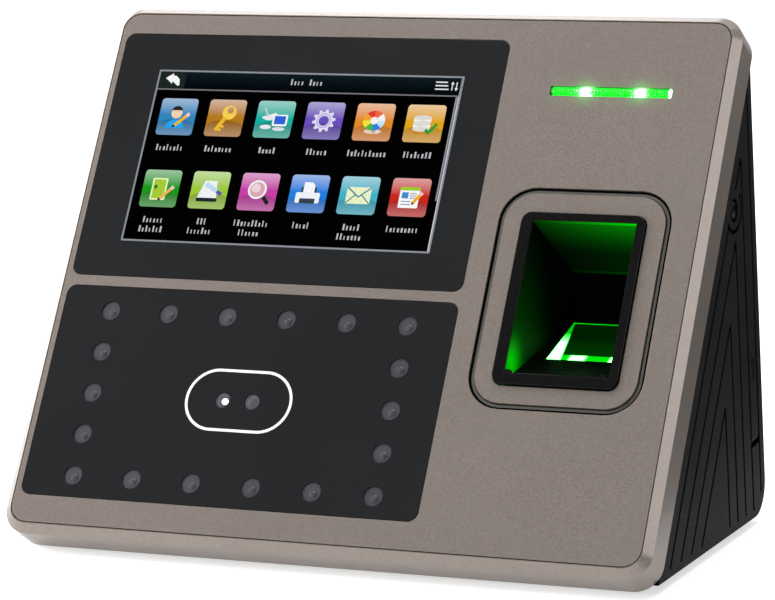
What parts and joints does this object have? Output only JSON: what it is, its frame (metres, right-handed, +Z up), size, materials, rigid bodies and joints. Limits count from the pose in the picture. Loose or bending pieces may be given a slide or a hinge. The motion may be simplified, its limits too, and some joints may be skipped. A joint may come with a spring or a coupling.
{
  "type": "fingerprint scanner terminal",
  "caption": "Wedge-shaped desk or wall terminal with a touch display, a face camera window, a lit fingerprint well and a hook-on wall plate.",
  "frame": {"origin": "centre of the bounding box on the surface that the rubber feet stand on", "axes": "+X along the width, to the right as seen from the front; +Y to the back; +Z up; the face looks to -Y and leans back 32 degrees"},
  "size_m": [0.1936, 0.1049, 0.146],
  "materials": {
    "metallic_taupe_paint": "fine metallic flake under satin clear coat",
    "tinted_glass": "dark tinted, polished",
    "optical_glass": "polished prism glass",
    "black_moulding": "fine moulded texture",
    "grey_rubber": "matt",
    "black_rubber": "matt",
    "clear_light_guide": "clear prismatic light guide, lit green",
    "circuit_board": "green solder mask",
    "plated_steel": "zinc plated",
    "copper_film": "amber polyimide film",
    "white_moulding": "satin",
    "green_moulding": "satin",
    "blue_film": "shrink film"
  },
  "bodies": {
    "case": {"front_panel": "metallic_taupe_paint", "bezel_frame": "metallic_taupe_paint", "finger_plate": "metallic_taupe_paint", "display_glass": "tinted_glass", "face_window": "tinted_glass", "touch_sensor": "tinted_glass", "sensor_window": "optical_glass", "finger_well": "black_moulding", "rear_housing": "black_moulding", "sensor_module": "black_moulding", "lcd_bracket": "black_moulding", "ir_led_mask": "black_moulding", "infrared_camera": "black_moulding", "colour_camera": "black_moulding", "power_inlet": "black_moulding", "tamper_switch": "black_moulding", "finger_gasket": "grey_rubber", "foot_1": "black_rubber", "foot_2": "black_rubber", "foot_3": "black_rubber", "foot_4": "black_rubber", "status_light_lens": "clear_light_guide", "sensor_board": "circuit_board", "status_light_board": "circuit_board", "ir_led_board": "circuit_board", "camera_board": "circuit_board", "main_board": "circuit_board", "card_antenna_board": "circuit_board", "connector_board": "circuit_board", "lcd_module": "plated_steel", "processor_module": "plated_steel", "clock_battery": "plated_steel", "network_socket": "plated_steel", "usb_cover_pin": "plated_steel", "usb_socket": "plated_steel", "speaker": "plated_steel", "case_screw_1": "plated_steel", "case_screw_2": "plated_steel", "case_screw_3": "plated_steel", "case_screw_4": "plated_steel", "display_ribbon": "copper_film", "sensor_ribbon": "copper_film", "power_switch": "white_moulding", "terminal_block": "green_moulding", "backup_battery": "blue_film"},
    "power_button": {"power_button": "black_moulding"},
    "usb_cover": {"usb_cover": "black_moulding"},
    "tamper_plunger": {"tamper_plunger": "white_moulding"},
    "wall_plate": {"wall_plate": "plated_steel"}
  },
  "joints": [
    {"name": "power_button_press", "type": "slide", "parent": "case", "child": "power_button", "axis": [-1, 0, 0], "range_m": [0, 0.0008], "stiffness_N_per_m": 900, "springref_m": -0.0008},
    {"name": "usb_cover_hinge", "type": "hinge", "parent": "case", "child": "usb_cover", "pos_m": [0.0939, 0.04343, 0.0261], "axis": [0, 0.9956, 0.0941], "range_deg": [0, 95]},
    {"name": "tamper_plunger_press", "type": "slide", "parent": "case", "child": "tamper_plunger", "axis": [0, -0.9956, -0.0941], "range_m": [0, 0.002], "stiffness_N_per_m": 300, "springref_m": -0.002},
    {"name": "wall_plate_slide", "type": "slide", "parent": "case", "child": "wall_plate", "axis": [0, 0.0941, -0.9956], "range_m": [0, 0.008]}
  ]
}
